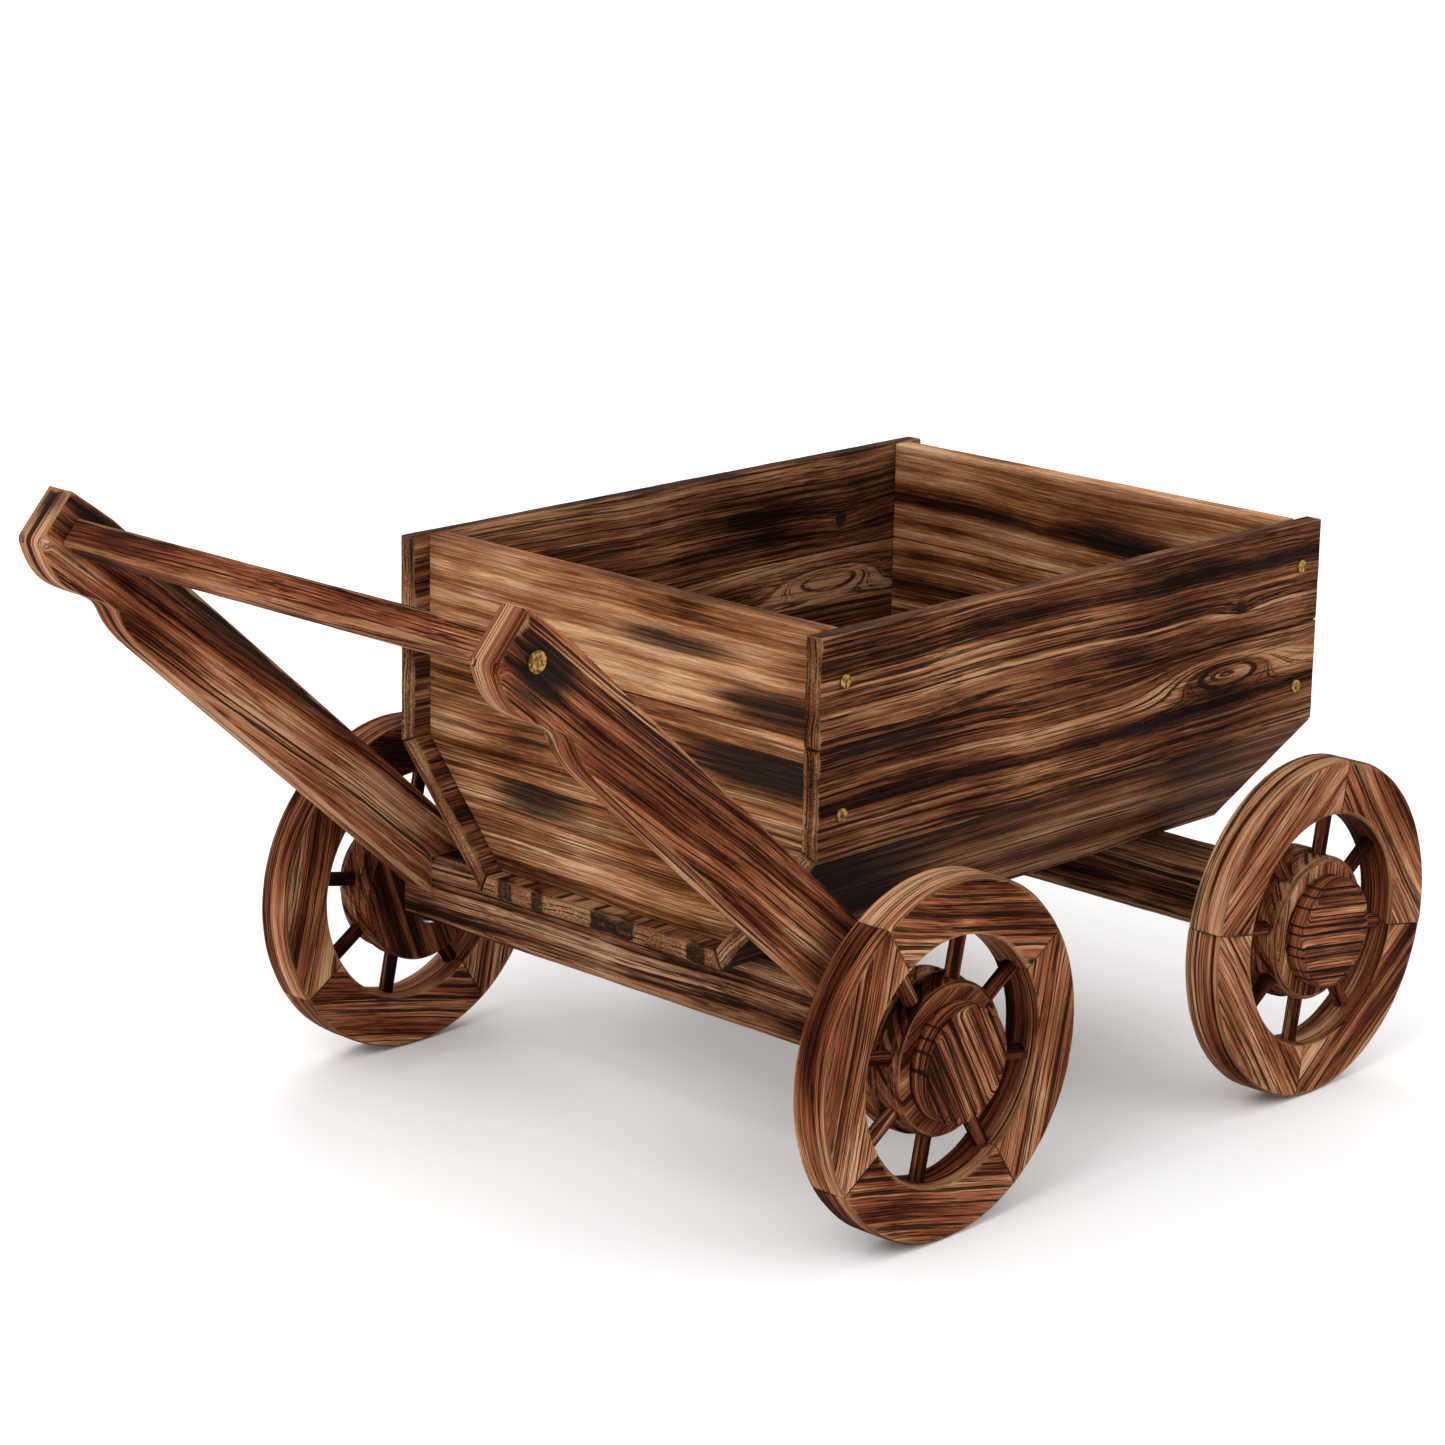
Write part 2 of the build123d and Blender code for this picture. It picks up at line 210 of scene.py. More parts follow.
# Noise over the grain: waves per millimetre along it and square to it, detail, roughness.
GRAIN_NOISES = {
    "wobble": ((0.012, 0.05, 0.05), 2, 0.5),
    "flame": ((0.0075, 0.02, 0.02), 2, 0.45),
    "patch": ((0.013, 0.06, 0.06), 3, 0.5),
    "fibre": ((0.035, 1.7, 1.7), 3, 0.7),
    "hairline": ((0.012, 1.1, 1.1), 2, 0.6),
    "streak": ((0.006, 0.42, 0.42), 3, 0.6),
}
# Noise over the ring radius: waves per millimetre, detail, roughness.
RING_NOISES = {"coarse": (0.085, 4, 0.6), "fine": (0.42, 2, 0.5), "sparse": (0.24, 2, 0.5)}

# How much each pattern sways the ground colour, the char, the sanding and the height.
GROUND_SHARES = {
    "band": 0.3, "coarse": 1.5, "streak": 0.9, "fibre": 1.2, "patch": 0.7, "flame": 1.5}
CHAR_SHARES = {"streak": 1.0, "coarse": -1.0, "patch": 0.5}
SANDED_SHARES = {"patch": 2.2, "fibre": 0.9}
HEIGHT_SHARES = {"fibre": 0.7, "coarse": 0.9}
LINES_SHUN_FLAME = -0.25
LINES_FOLLOW_STREAK = 0.7
LINE_DEPTH = -0.8

# Where a pattern steps in: from and to, then the results there where they aren't 0 and 1.
LINE_STEP = (0.57, 0.6)
LINE_GATE = (0.4, 0.54)
HAIRLINE_STEP = (0.57, 0.61, 0.0, 0.85)
CRACK_STEP = (0.026, 0.01)
CRACK_GATE = (0.46, 0.54)
FLAME_STEP = (0.36, 0.2, 0.0, 0.55)
CHAR_AND_SHADE_STEP = (0.25, 0.9, 0.0, 0.94)
SANDED_STEP = (0.6, 1.05)

BUMP_DISTANCE = 0.0012
BUMP_STRENGTH = 0.9
ROUGHNESS, FIBRE_ROUGHNESS, CHAR_ROUGHNESS = 0.5, 0.22, 0.1


def burnt_wood(name, ground, line_strength=0.92, wear_strength=0.7):
    """Scorched, brushed fir: uneven rings, dark late wood, fibres, soft char and painted shade,
    sanded arrises.
    """
    wood = Shader(name)

    def about_middle(part, share):
        return wood.maths("MULTIPLY", wood.maths("SUBTRACT", part, 0.5), share)

    def swayed(value, shares):
        for part, share in shares.items():
            value = wood.maths("ADD", value, about_middle(parts[part], share))
        return value

    grain = wood.attribute("grain", "Vector")
    parts = {"band": wood.attribute("band")}
    for part, (scale, detail, roughness) in GRAIN_NOISES.items():
        parts[part] = wood.noise(wood.stretched(grain, scale), detail, roughness)
    radius = wood.maths("ADD", wood.attribute("rings"), about_middle(parts["wobble"], RING_WOBBLE))
    for part, (scale, detail, roughness) in RING_NOISES.items():
        place = wood.maths("MULTIPLY", radius, scale)
        parts[part] = wood.noise(place, detail, roughness, over_number=True)

    # ground colour: broad bands, streaks, flame marks and fibres about the middle of the ramp
    tone = swayed(wood.maths("ADD", wood.attribute("tone"), LIFT), GROUND_SHARES)
    colour = wood.colours(tone, ground)

    # late wood, burnt darker: thin lines that come and go along the grain, hairlines and cracks
    lines = wood.maths("ADD", parts["fine"], about_middle(parts["flame"], LINES_SHUN_FLAME))
    come_and_go = wood.maths(
        "ADD", parts["patch"], about_middle(parts["streak"], LINES_FOLLOW_STREAK))
    late = wood.maths(
        "MULTIPLY", wood.ramp(lines, *LINE_STEP), wood.ramp(come_and_go, *LINE_GATE))
    late = wood.maths("MAXIMUM", late, wood.ramp(parts["hairline"], *HAIRLINE_STEP))
    apart = wood.maths("ABSOLUTE", wood.maths("SUBTRACT", parts["sparse"], 0.5))
    crack = wood.maths(
        "MULTIPLY", wood.ramp(apart, *CRACK_STEP), wood.ramp(parts["streak"], *CRACK_GATE))
    late = wood.maths("MULTIPLY", wood.maths("MAXIMUM", late, crack), wood.attribute("lines"))
    colour = wood.mix(wood.maths("MULTIPLY", late, line_strength), colour, linear(LATE_WOOD))

    # char, with the painted shade of the recesses mixed in by the same mask: soft patches along the
    # grain
    scorch_and_shade = wood.maths("ADD", wood.attribute("burn_and_shade"), wood.ramp(parts["flame"], *FLAME_STEP))
    scorch_and_shade = wood.ramp(swayed(scorch_and_shade, CHAR_SHARES), *CHAR_AND_SHADE_STEP)
    char_and_shade = wood.mix(parts["fibre"], linear(DEEP_CHAR_AND_SHADE_COLOUR), linear(CHAR_AND_SHADE_COLOUR))
    colour = wood.mix(scorch_and_shade, colour, char_and_shade)

    # sanded arrises: tan, uneven along their length
    rubbed = swayed(wood.attribute("wear"), SANDED_SHARES)
    colour = wood.mix(wood.ramp(rubbed, *SANDED_STEP, 0.0, wear_strength), colour, linear(SANDED))

    height = wood.maths("MULTIPLY", late, LINE_DEPTH)
    for part, share in HEIGHT_SHARES.items():
        height = wood.maths("ADD", height, wood.maths("MULTIPLY", parts[part], share))
    wood.bump(height, BUMP_DISTANCE, BUMP_STRENGTH)
    rough = wood.maths("ADD", ROUGHNESS, wood.maths("MULTIPLY", parts["fibre"], FIBRE_ROUGHNESS))
    rough = wood.maths("ADD", rough, wood.maths("MULTIPLY", scorch_and_shade, CHAR_ROUGHNESS))
    wood.set(Base_Color=colour, Roughness=rough, IOR=1.45, Specular_IOR_Level=0.015)
    return wood.material


PLANK_GROUND = ("130905", "341b10", "673d26", "875739", "ad805c")
PANEL_GROUND = ("1e0e07", "4a2814", "7d4c2d", "a6714a", "cda27a")
RIM_GROUND = ("1e0b06", "471f12", "7b4329", "9f6443", "c69670")
BEAM_GROUND = ("130805", "341b11", "673f2a", "94674b", "c09674")

WOODS = {
    "trough_planks": burnt_wood("plank_wood", PLANK_GROUND),
    "end_panels": burnt_wood("panel_wood", PANEL_GROUND, 0.75, wear_strength=0.35),
    "beams": burnt_wood("beam_wood", BEAM_GROUND),
    "handle": burnt_wood("handle_wood", RIM_GROUND),
    "rims": burnt_wood("rim_wood", RIM_GROUND, wear_strength=0.5),
    "hubs": burnt_wood("hub_wood", RIM_GROUND, wear_strength=0.5),
}

# ---- metal ----
CLOUD_WAVES = (420, 420, 420)       # per metre
SCRATCH_WAVES = (5200, 900, 2600)
TARNISH_STEP = (0.42, 0.62)
TARNISH_ROUGHNESS = 0.25
CLOUD_HEIGHT = 0.6
SCRATCH_DISTANCE = 0.00015
SCRATCH_STRENGTH = 0.5


def ageing_metal(name, bright, dull, roughness):
    """A plated metal with patches of tarnish and fine scratches."""
    metal = Shader(name)
    place = metal.tree.nodes.new("ShaderNodeTexCoord").outputs["Object"]
    cloud = metal.noise(metal.stretched(place, CLOUD_WAVES), 3)
    scratches = metal.noise(metal.stretched(place, SCRATCH_WAVES), 2)
    tarnish = metal.ramp(cloud, *TARNISH_STEP)
    rough = metal.maths("ADD", metal.maths("MULTIPLY", tarnish, TARNISH_ROUGHNESS), roughness)
    height = metal.maths("ADD", scratches, metal.maths("MULTIPLY", cloud, CLOUD_HEIGHT))
    metal.bump(height, SCRATCH_DISTANCE, SCRATCH_STRENGTH)
    colour = metal.mix(tarnish, linear(bright), linear(dull))
    metal.set(Base_Color=colour, Roughness=rough, Metallic=0.85)
    return metal.material


BRASS = ageing_metal("tarnished_brass", "a9813f", "5d4020", 0.44)
ZINC = ageing_metal("zinc_plate", "b9bcbf", "86898c", 0.32)

# ---- timber: a CAD solid worked into a finished piece; lengths in millimetres unless noted ----
WELD = 1e-6                         # metres
BISECT_MERGE = 1e-7                 # metres
FLAT = radians(1)
SHARP = radians(28)
SAME_WAY = 0.99                     # of two directions, as the cosine between them
SHORTEST_EASED = 1.9 * MM           # metres
EASE = 1.3                          # the round on an arris
RELIEF = 0.35 * MM                  # metres, between the soft and the hard rings
DRIFT = 1.2                         # of the grain, sideways
DRIFT_THROUGH = 0.6                 # and through the piece, as a share of that
DRIFT_WAVES = ((460, 1.0), (210, 0.5), (97, 0.18))
BANDS = ((8.0, 0.65), (3.7, 0.35))  # ring widths and their shares
FACE_POWER = 4                      # how fast a curved piece's face grain ends on its rounds
END_GRAIN_FROM, END_GRAIN_FADE = 0.8, 0.15
END_RINGS, END_OFFSET = 1.6, 3      # of the rings that show on end grain
END_DRIFT, END_WAVES = 1.8, 3       # their sway, and how many times faster it comes
END_TONE, END_SPARED = 0.2, 0.9     # end grain is lighter and chars less
KNOT_CHAR = 1.4
BURN_EDGE = 1.5                     # the higher, the harder a burn's edge
SPARED_TONE = 0.25
WEAR_REACH = 1.7
SEAM_REACH, SEAM_CHAR, SEAM_WEAR = 1.1, 0.45, 0.2
LONG_DENTS, SHORT_DENTS, SHORT_DENT_SHARE, DENT_LEVEL, DENT_DEPTH = 31.0, 9.0, 0.6, 1.1, 1.1
GROOVE_CUTS = (-1.0, -0.4, 0.4, 1.0)
GROOVE_HALF, GROOVE_CHAR, GROOVE_REACH = 0.6, 1.1, 0.9
CHARRED_GROOVE = 0.3                # the depth from which a groove is dark
GROOVE_FACING = 0.5                 # faces turned further than this across aren't sunk
SEED_SHIFT = 391.7                  # how far apart two timbers' grain lies in the noise
KNOTS_KEPT = 4096                   # random values before an uneven line repeats
SPOKE_COUNT = 8
SPOKE_SHIFT = 311.0


def open_copy(node):
    """A welded copy of a CAD node's mesh with its flat faces joined."""
    work = bmesh.new()
    work.from_mesh(NODES[node].data)
    bmesh.ops.remove_doubles(work, verts=work.verts, dist=WELD)
    bmesh.ops.dissolve_limit(
        work, angle_limit=FLAT, verts=work.verts, edges=work.edges, use_dissolve_boundaries=False)
    return work


def sharp_edges(work, shortest):
    """The arrises; a shortest length leaves out the rims of small holes."""
    return [
        edge for edge in work.edges
        if edge.is_manifold and edge.calc_face_angle() > SHARP and edge.calc_length() > shortest]


def round_off(work, edges, size, segments):
    """Rounds edges by a size in millimetres."""
    bmesh.ops.bevel(
        work, geom=edges, offset=size * MM, segments=segments, profile=0.5, affect="EDGES",
        clamp_overlap=True)


def cut_once(work, place, normal):
    """Cuts a mesh's faces along a plane and keeps both sides."""
    whole = work.verts[:] + work.edges[:] + work.faces[:]
    bmesh.ops.bisect_plane(
        work, geom=whole, dist=BISECT_MERGE, plane_co=place, plane_no=normal)


def cut_across(work, normal, step):
    """Cuts a mesh into even slices square to a direction, so that it can carry detail."""
    reach = [vertex.co.dot(normal) for vertex in work.verts]
    low, high = min(reach), max(reach)
    slices = max(1, round((high - low) / step))
    for index in range(1, slices):
        cut_once(work, normal * (low + (high - low) * index / slices), normal)


def cut_grooves(work, across, grooves):
    """Cuts beside and along each groove's line, so that its floor can be sunk."""
    centre = sum((vertex.co for vertex in work.verts), Vector()) / len(work.verts)
    for place, _ in grooves:
        for side in GROOVE_CUTS:
            cut_once(work, centre + across * (place + side) * MM, across)


def apart_from_seams(arrises, seams):
    """The arrises that the sander reaches: none beside a face that is glued to the next piece."""
    def glued(face):
        return any(face.normal.dot(seam) > SAME_WAY for seam in seams)
    return [edge for edge in arrises if not any(glued(face) for face in edge.link_faces)]


def as_segments(edges):
    """The two ends of each edge, as arrays."""
    return [tuple(np.array(vertex.co) for vertex in edge.verts) for edge in edges]


def worked_mesh(node, directions, cuts, seams, grooves):
    """A timber's mesh with eased arrises and a grid of cuts. With it come the arrises as they
    were before: the ones that the sander reaches, and all of them."""
    work = open_copy(node)
    arrises = sharp_edges(work, SHORTEST_EASED)
    sanded = as_segments(apart_from_seams(arrises, seams))
    every_arris = as_segments(arrises)
    round_off(work, arrises, EASE, 3)
    cut_grooves(work, directions[1], grooves)
    for direction, step in zip(directions, cuts):
        cut_across(work, direction, step * MM)
    bmesh.ops.recalc_face_normals(work, faces=work.faces)
    mesh = bpy.data.meshes.new(f"{node}_finished")
    work.to_mesh(mesh)
    work.free()
    return mesh, sanded, every_arris


def nearness(points, segments, reach):
    """One on some straight segments, and less with the distance from them."""
    nearest = np.full(len(points), 1e9)
    for start, end in segments:
        line = end - start
        share = np.clip((points - start) @ line / max(line @ line, 1e-18), 0, 1)
        offsets = points - start - share[:, None] * line
        nearest = np.minimum(nearest, np.linalg.norm(offsets, axis=1))
    return np.exp(-((nearest / MM / reach) ** 2))


def uneven(values, spacing, seed):
    """Smooth random values from 0 to 1 along a number, with knots a spacing apart."""
    rng = np.random.default_rng(seed)
    knots = rng.random(KNOTS_KEPT)
    place = values / spacing + KNOTS_KEPT // 2
    base = np.floor(place).astype(int)
    share = place - base
    share = share * share * (3 - 2 * share)
    return knots[base % KNOTS_KEPT] * (1 - share) + knots[(base + 1) % KNOTS_KEPT] * share


def wander(values, size, seed):
    """A slow sideways drift along the grain."""
    rng = np.random.default_rng(seed)
    drift = np.zeros_like(values)
    for wavelength, share in DRIFT_WAVES:
        drift += size * share * np.sin(2 * pi * values / wavelength + rng.random() * 2 * pi)
    return drift


def squared_distance(u, v, at_u, at_v, size_u, size_v):
    """From the middle of a knot or a burn, in shares of its size."""
    return ((u - at_u) / size_u) ** 2 + ((v - at_v) / size_v) ** 2


def along_spokes(u, v):
    """Distances along and beside the nearest of a wheel's spokes, for points around its centre."""
    angle = np.arctan2(v, u)
    phase = np.angle(np.mean(np.exp(1j * SPOKE_COUNT * angle))) / SPOKE_COUNT
    pitch = 2 * pi / SPOKE_COUNT
    number = np.round((angle - phase) / pitch)
    reach, aside = np.hypot(u, v), angle - phase - number * pitch
    return reach * np.cos(aside) + number * SPOKE_SHIFT, reach * np.sin(aside)


def vertex_array(mesh, name):
    """The vertices' places or normals as an array."""
    values = np.zeros(len(mesh.vertices) * 3)
    mesh.vertices.foreach_get(name, values)
    return values.reshape(-1, 3)


def store(mesh, name, values):
    """Keeps a number or a vector for each vertex under a name that the shader reads."""
    kind, field = ("FLOAT", "value") if values.ndim == 1 else ("FLOAT_VECTOR", "vector")
    attribute = mesh.attributes.new(name, kind, "POINT")
    attribute.data.foreach_set(field, values.astype(np.float32).ravel())


def finish_piece(node, mesh, material):
    """Puts a finished mesh in the place of its CAD node."""
    piece = bpy.data.objects.new(f"{node}_finished", mesh)
    bpy.context.scene.collection.objects.link(piece)
    mesh.materials.clear()
    mesh.materials.append(material)
    mesh.shade_smooth()
    weighted = piece.modifiers.new("flat_faces", "WEIGHTED_NORMAL")
    weighted.keep_sharp = True
    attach(piece, BODIES[node])
    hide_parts(node)


def timber(node, slot, along, across, seed, pith, tone=0.5, lines=1.0, burns=(),
           cuts=(9.0, 2.6, 5.0), relief=1.0, seams=(), knots=(), grooves=(), char_and_shade=None,
           curved=False, twist=0.0, edge_tone=0.0, fan=False):
    """One timber. Along is the grain's direction and across the direction over its wide face; pith
    is where the middle of the tree lay from the piece's centre, over the face and square to it.
    Tone lightens the wood and lines weighs its dark lines. Burns are (along, across, half length,
    half width, strength), in shares of the half sizes, and a strength below zero is wood that the
    flame spared. Cuts are the steps of the grid along, across and through. Seams are the normals
    of glued faces. Knots are (along, across, half length, half width, swell, core as a share of
    the half sizes) and grooves (across, depth). Char gives more scorch and painted shade from u,
    v, w and the half sizes. On a curved outline the lines of the narrow faces follow the outline,
    a twist slants them, and their tone differs by edge_tone. Relief weighs how deep the wood is
    brushed. A fan is a set of spokes, each with its own grain."""
    directions = (along, across, along.cross(across))
    mesh, sanded, every_arris = worked_mesh(node, directions, cuts, seams, grooves)
    points, normals = vertex_array(mesh, "co"), vertex_array(mesh, "normal")
    axes = np.array(directions)
    local = (points - np.array(middle(node))) @ axes.T / MM
    half = np.abs(local).max(axis=0)
    u, v, w = local.T
    if fan:
        u, v = along_spokes(u, v)
    facing_along, facing_across, facing_through = (normals @ axis for axis in axes)
    on_face = facing_through ** FACE_POWER
    on_edge = curved * (1 - on_face)
    end_grain = np.clip((np.abs(facing_along) - END_GRAIN_FROM) / END_GRAIN_FADE, 0, 1)
    end_grain = end_grain * (not curved)

    # where the rings run: around the pith, out around the knots, and as rings on end grain
    ring_v = v - pith[0] + wander(u, DRIFT, seed)
    if curved:
        ring_v = -pith[0] + (ring_v + pith[0]) * on_face
    ring_w = w - pith[1] + wander(u, DRIFT * DRIFT_THROUGH, seed + 1)
    rings = np.hypot(ring_v, ring_w)
    burn_and_shade = np.zeros(len(u))
    for at_u, at_v, long, wide, swell, core in knots:
        off = squared_distance(u, v, at_u, at_v, long, wide)
        rings += swell * np.exp(-off)
        burn_and_shade += KNOT_CHAR * np.exp(-off / core ** 2)
    rings += twist * np.arctan2(v, u) * half[1] * on_edge
    end_sway = wander(v * END_WAVES, END_DRIFT, seed + 6)
    rings += end_grain * (w * END_RINGS + end_sway - rings + pith[1] * END_OFFSET)
    band = sum(share * uneven(rings, width, seed + 2 + index)
               for index, (width, share) in enumerate(BANDS))

    # where the flame stayed, where shade is painted into the recesses, and how far the arrises are
    # sanded
    for at_u, at_v, size_u, size_v, strength in burns:
        off = squared_distance(u / half[0], v / half[1], at_u, at_v, size_u, size_v)
        burn_and_shade += strength * np.exp(-off ** BURN_EDGE)
    burn_and_shade *= 1 - END_SPARED * end_grain
    if char_and_shade:
        burn_and_shade += char_and_shade(u, v, w, half)
    wear = nearness(points, sanded, WEAR_REACH)
    burn_and_shade += SEAM_CHAR * nearness(points, every_arris, SEAM_REACH) * (wear < SEAM_WEAR)

    # relief: soft rings brushed out, dents along the arrises, and grooves
    dents = uneven(u, LONG_DENTS, seed + 4) + SHORT_DENT_SHARE * uneven(u, SHORT_DENTS, seed + 5)
    depth = RELIEF * relief * (band - 1.0 + DENT_DEPTH * (dents - DENT_LEVEL) * wear)
    for place, sunk in grooves:
        inside = (np.abs(v - place) < GROOVE_HALF) & (np.abs(facing_across) < GROOVE_FACING)
        depth[inside] -= sunk * MM
        groove = np.exp(-(((v - place) / GROOVE_REACH) ** 2))
        burn_and_shade += GROOVE_CHAR * groove * (sunk > CHARRED_GROOVE)
    points += normals * depth[:, None]
    mesh.vertices.foreach_set("co", points.ravel())

    shift = seed * SEED_SHIFT
    spared = np.minimum(burn_and_shade, 0)
    store(mesh, "grain", np.stack((u + shift, ring_v, ring_w), axis=1))
    store(mesh, "rings", rings + shift)
    store(mesh, "band", band)
    store(mesh, "burn_and_shade", burn_and_shade)
    store(mesh, "wear", wear)
    store(mesh, "lines", np.full(len(u), lines))
    store(mesh, "tone", tone + END_TONE * end_grain + edge_tone * on_edge - SPARED_TONE * spared)
    finish_piece(node, mesh, WOODS[slot])


def metalwork(node, material, ease):
    """A metal piece: its CAD solid with rounded edges."""
    work = open_copy(node)
    round_off(work, sharp_edges(work, 0.0), ease, 2)
    mesh = bpy.data.meshes.new(f"{node}_finished")
    work.to_mesh(mesh)
    work.free()
    finish_piece(node, mesh, material)


# ---- trough ----
recess = (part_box("end_panel_front_middle")[0].x - trough_front) / MM
INNER_SKIN = 0.8        # how near to the inner face the recess's painted shade lies
RECESS_SPILL = 2        # how far it runs in past the panel's face
FLOOR_EDGE = 4          # how far the char on the floor's front edge runs in
FLOOR_CHAR = 0.85
FLOOR_PATCHES = {"spacing": 13.0, "seed": 52}
FLOOR_PATCH_LEVEL = 0.52


def recess_shade_and_spared(inward, strength):
    """Painted shade on a plank's inner face where it stands proud of the end panels; below zero,
    wood that the flame spared."""
    def scorch_and_shade(u, v, w, half):
        inner = w * inward > half[2] - INNER_SKIN
        return strength * inner * (np.abs(u) > half[0] - recess - RECESS_SPILL)
    return scorch_and_shade


for seed, side in ((11, "left"), (31, "right")):
    sideways = 1 if side == "left" else -1
    # painted shade on the inner faces of the side planks, in the recesses past the end panels
    char_and_shade = recess_shade_and_spared(sideways, 0.4)
    timber(
        f"side_plank_upper_{side}", "trough_planks", X, Z, seed, pith=(-75, 50), tone=0.43,
        char_and_shade=char_and_shade, seams=[-Z], cuts=(5.0, 2.4, 6.0),
        knots=[(149, -13, 22, 8, 3, 0.16), (149, -13, 6, 9, 1, 0.8)],
        burns=[(0.8, 0.35, 0.35, 0.2, 0.6), (0.25, -0.75, 0.3, 0.2, 0.5),
               (0.68, -0.75, 0.3, 0.35, -0.4)])
    timber(
        f"side_plank_lower_{side}", "trough_planks", X, Z, seed + 5, pith=(85, -50), tone=0.46,
        char_and_shade=char_and_shade, seams=[Z], cuts=(5.0, 2.2, 6.0), knots=[(138, 15, 52, 11, 21, 0.09)],
        burns=[(0.5, -0.25, 0.6, 0.25, 0.75), (-0.75, 0.85, 0.25, 0.25, 0.6),
               (-0.3, -0.2, 0.2, 0.2, 0.4), (0.6, 0.45, 0.4, 0.6, -1.6),
               (-0.12, -0.2, 0.2, 0.6, -1.0)])
    slant_low, slant_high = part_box(f"hopper_plank_{side}")
    slant = Vector((0, sideways * (slant_high.y - slant_low.y), slant_high.z - slant_low.z))
    slant.normalize()
    timber(
        f"hopper_plank_{side}", "trough_planks", X, slant, seed + 10, pith=(-70, 60), tone=0.54,
        char_and_shade=recess_shade_and_spared(sideways, -0.65),
        burns=[(-0.85, -0.1, 0.5, 1.6, 1.0), (0.15, 0.2, 0.3, 0.8, -1.0)])


def floor_char(u, v, w, half):
    """Char on patches of the floor's front edge."""
    patches = uneven(v, **FLOOR_PATCHES) > FLOOR_PATCH_LEVEL
    return FLOOR_CHAR * (u < FLOOR_EDGE - half[0]) * patches


timber("floor_board", "trough_planks", X, Y, 51, pith=(20, -90), tone=0.5, char_and_shade=floor_char)

for seed, end in ((61, "front"), (81, "rear")):
    timber(
        f"end_panel_{end}_upper", "end_panels", Y, Z, seed, pith=(-150, 60), tone=0.48, lines=0.4,
        seams=[-Z],
        burns=[(-0.3, 0.1, 0.35, 0.3, 0.7), (-0.8, -0.6, 0.35, 0.35, 0.9),
               (0.5, -0.4, 0.4, 0.3, 0.4)])
    timber(
        f"end_panel_{end}_middle", "end_panels", Y, Z, seed + 5, pith=(120, 45), tone=0.5,
        lines=0.8, seams=[Z, -Z],
        burns=[(-0.75, 0.2, 0.45, 0.45, 1.1), (0.45, -0.3, 0.2, 0.4, 0.6)])
    timber(
        f"end_panel_{end}_lower", "end_panels", Y, Z, seed + 10, pith=(-110, 30), tone=0.56,
        seams=[Z], burns=[(0.4, 0.5, 0.3, 0.35, 0.9), (-0.4, -0.6, 0.3, 0.3, 0.5)])

# ---- beams ----
timber(
    "front_beam", "beams", Y, X, 101, pith=(-60, 35), tone=0.4,
    grooves=[(-16, 0.5), (-8, 0.7), (-1, 0.5), (9, 0.6)])
timber(
    "rear_beam", "beams", Y, X, 107, pith=(50, 45), tone=0.6,
    grooves=[(-12, 0.6), (3, 0.7), (11, 0.5)])

# ---- handle ----
arm_low, arm_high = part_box("handle_arm_right")
foot = Vector((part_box("front_beam")[1].x, 0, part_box("front_beam")[1].z))
grip = Vector((arm_low.x, 0, arm_high.z))
BOX_TO_ARM = radians(1.2)       # from the slope of the arm's box to the slope of the arm
arm_slope = atan2(grip.z - foot.z, foot.x - grip.x) - BOX_TO_ARM
arm_along = Vector((cos(arm_slope), 0, -sin(arm_slope)))
arm_across = arm_along.cross(Y).normalized()
ARM_BURNS = {
    "left": [(-0.85, 0.1, 0.14, 0.5, 0.6), (0.0, 0.6, 1.2, 0.42, 1.0), (0.1, -0.4, 0.5, 0.4, -1.0)],
    "right": [(-0.85, 0.1, 0.14, 0.5, 0.9), (-0.3, 0.4, 0.5, 0.3, 0.5), (0.8, 0.0, 0.4, 0.8, 0.6)],
}
for seed, side in ((121, "left"), (131, "right")):
    timber(
        f"handle_arm_{side}", "handle", arm_along, arm_across, seed, pith=(-70, 30), tone=0.46,
        curved=True, edge_tone=0.25, burns=ARM_BURNS[side])
timber(
    "handle_crossbar", "handle", Y, X, 141, pith=(-25, 14), tone=0.54,
    burns=[(-0.2, 0.1, 0.7, 0.35, 1.0), (0.7, -0.3, 0.3, 0.4, 0.6)])

# ---- wheels ----
CAP_TURNS = {"front_left": 20, "front_right": -62, "rear_left": 70, "rear_right": -8}
FELLY_TONES = (0.53, 0.64, 0.54, 0.6)
TREAD_TONES = (0.2, -0.12, 0.05, -0.1)
GROOVES_PER_CAP = 9
CAP_REACH = 0.86        # of the cap's radius
CAP_SCATTER = 0.06
CAP_DEPTHS = (0.15, 1.1)
wheel_seeds = count(207, 7)


def cap_grooves(node, seed):
    """Deep brushed lines over a hub cap: (place, depth) pairs at uneven distances."""
    rng = np.random.default_rng(seed)
    radius = (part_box(node)[1].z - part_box(node)[0].z) / 2 / MM
    places = np.linspace(-CAP_REACH, CAP_REACH, GROOVES_PER_CAP)
    places = places + rng.uniform(-CAP_SCATTER, CAP_SCATTER, GROOVES_PER_CAP)
    depths = rng.uniform(*CAP_DEPTHS, GROOVES_PER_CAP)
    return [(place * radius, depth) for place, depth in zip(places, depths)]


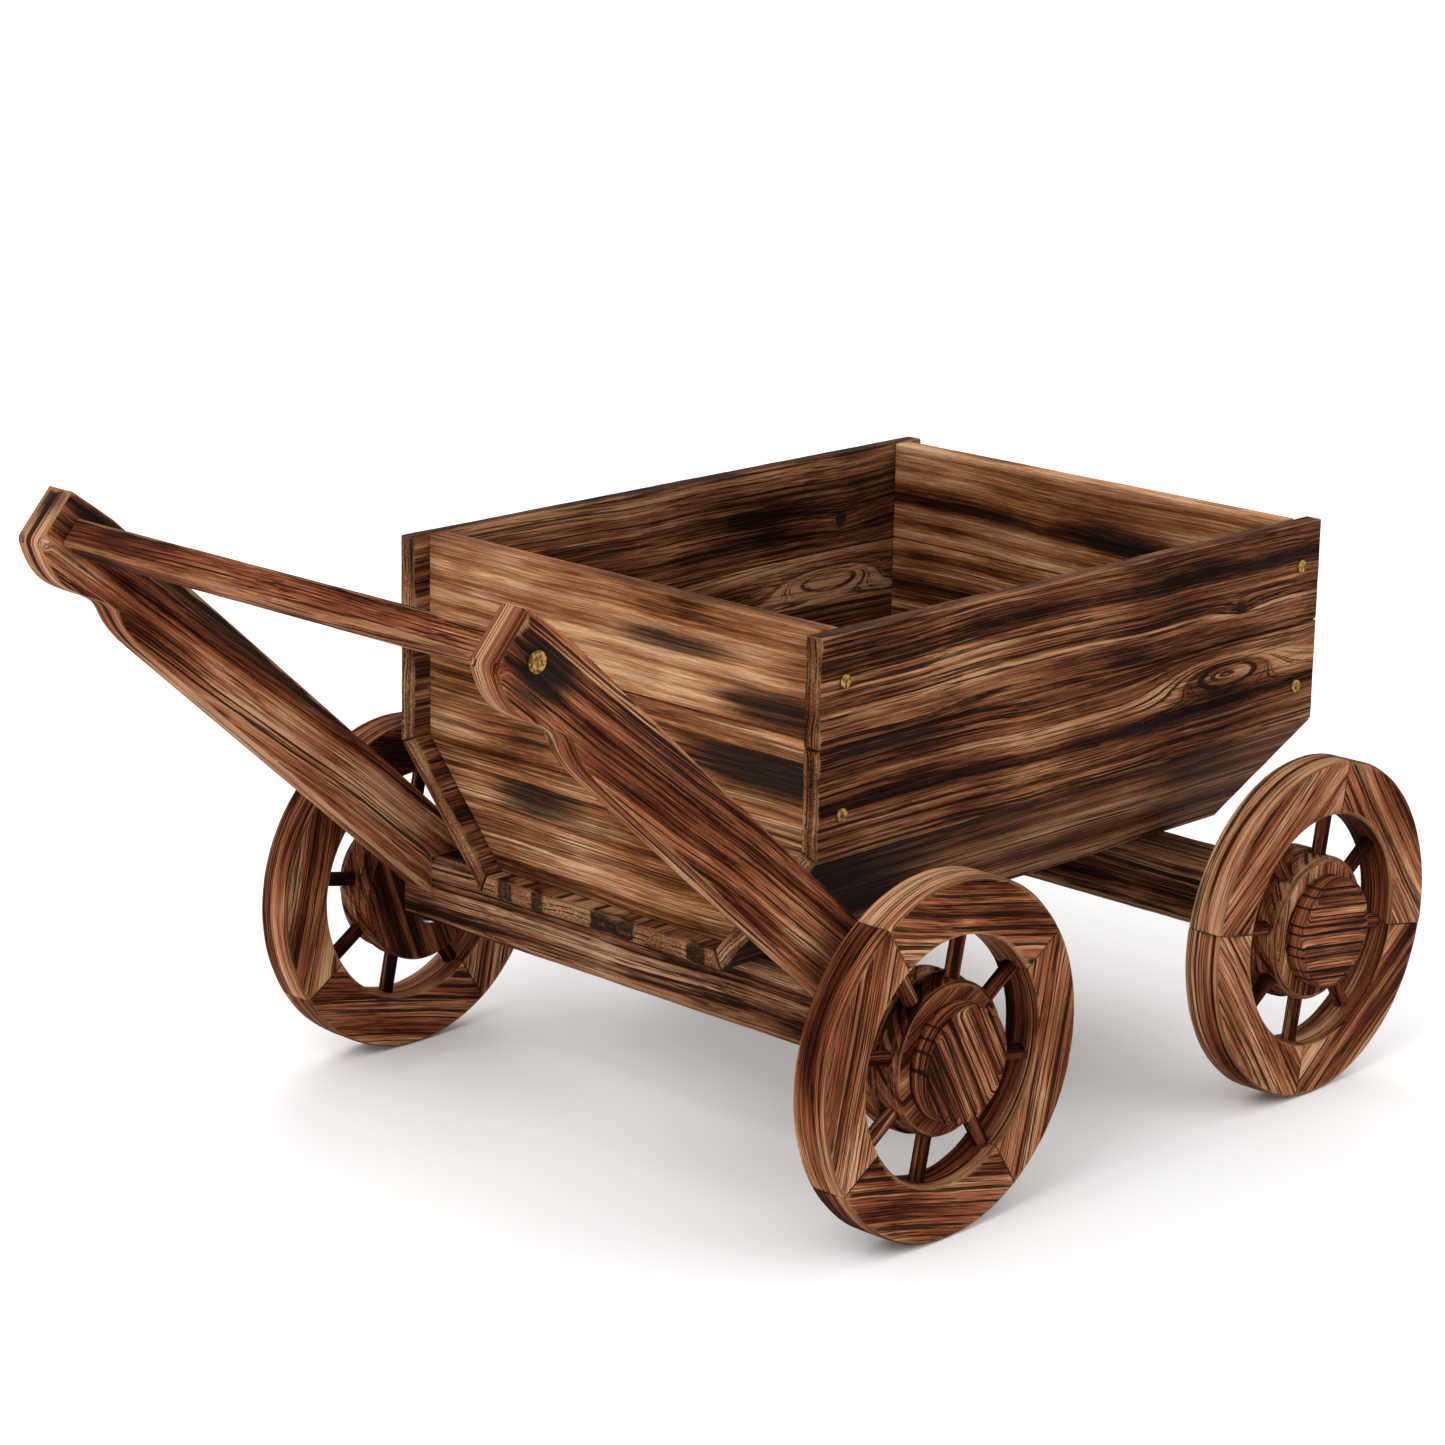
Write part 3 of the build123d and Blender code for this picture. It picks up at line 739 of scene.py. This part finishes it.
for wheel, cap_turn in CAP_TURNS.items():
    hub = middle(f"wheel_{wheel}_hub_outer")
    for index, (tone, edge_tone) in enumerate(zip(FELLY_TONES, TREAD_TONES)):
        felly = f"wheel_{wheel}_felly_{index + 1}"
        outward = middle(felly) - hub
        outward.y = 0
        outward.normalize()
        chord = outward.cross(Y).normalized()
        joints = [(chord * a + outward * b).normalized() for a in (1, -1) for b in (1, -1)]
        timber(
            felly, "rims", chord, outward, next(wheel_seeds), pith=(-75 + index * 9, 42),
            tone=tone, cuts=(9.0, 2.6, 4.5), seams=joints, curved=True, edge_tone=edge_tone)
    turn = radians(cap_turn)
    cap_along = Vector((cos(turn), 0, sin(turn)))
    disc_along = Vector((sin(turn), 0, -cos(turn)))
    for part, tone, grain_along in (
            ("hub_inner", 0.38, disc_along),
            ("hub_outer", 0.44, disc_along),
            ("hub_cap", 0.5, cap_along)):
        seed = next(wheel_seeds)
        node = f"wheel_{wheel}_{part}"
        is_cap = part == "hub_cap"
        timber(
            node, "hubs", grain_along, grain_along.cross(Y).normalized(), seed, pith=(-60, 35),
            tone=tone, cuts=(6.0, 2.4, 4.0), curved=True, twist=0.0 if is_cap else 0.4,
            grooves=cap_grooves(node, seed) if is_cap else ())
    timber(
        f"wheel_{wheel}_spokes", "hubs", X, Z, next(wheel_seeds), pith=(-12, 9), tone=0.26,
        cuts=(9.0, 9.0, 9.0), relief=0, fan=True)

# ---- metal pieces ----
metalwork("panel_screws", BRASS, 0.25)
metalwork("handle_screws", BRASS, 0.3)
metalwork("beam_screws", ZINC, 0.25)
metalwork("arm_screws", ZINC, 0.25)
for node in ("front_axle", "rear_axle", "axle_washers", "axle_nuts"):
    metalwork(node, ZINC, 0.3)

# ---- floor, sky and studio lights ----
FLOOR_SIZE = 30
FLOOR_GREY = (0.96, 0.96, 0.96, 1)
SKY_STRENGTH = 1.04
LIT_HEIGHT = 0.2
bpy.ops.mesh.primitive_plane_add(size=FLOOR_SIZE)
floor = bpy.context.object
floor.name = "studio_floor"
pale = Shader("pale_floor")
pale.set(Base_Color=FLOOR_GREY, Roughness=0.9, Specular_IOR_Level=0.1)
floor.data.materials.append(pale.material)

world = bpy.data.worlds.new("studio")
world.use_nodes = True
sky = world.node_tree.nodes["Background"]
sky.inputs["Color"].default_value = (1, 1, 1, 1)
sky.inputs["Strength"].default_value = SKY_STRENGTH
bpy.context.scene.world = world
bpy.context.scene.view_settings.view_transform = "Standard"


def softbox(name, place, size, power):
    """A square area light that faces the wagon, in metres and watts."""
    data = bpy.data.lights.new(name, "AREA")
    data.size = size
    data.energy = power
    lamp = bpy.data.objects.new(name, data)
    lamp.location = place
    toward_wagon = Vector((0, 0, LIT_HEIGHT)) - Vector(place)
    lamp.rotation_euler = toward_wagon.to_track_quat("-Z", "Y").to_euler()
    bpy.context.scene.collection.objects.link(lamp)


softbox("key", (-2.6, -0.6, 2.6), 1.6, 45)
softbox("fill", (0.8, -3.2, 1.6), 2.0, 18)
softbox("rim", (1.8, 2.2, 2.2), 1.6, 22)
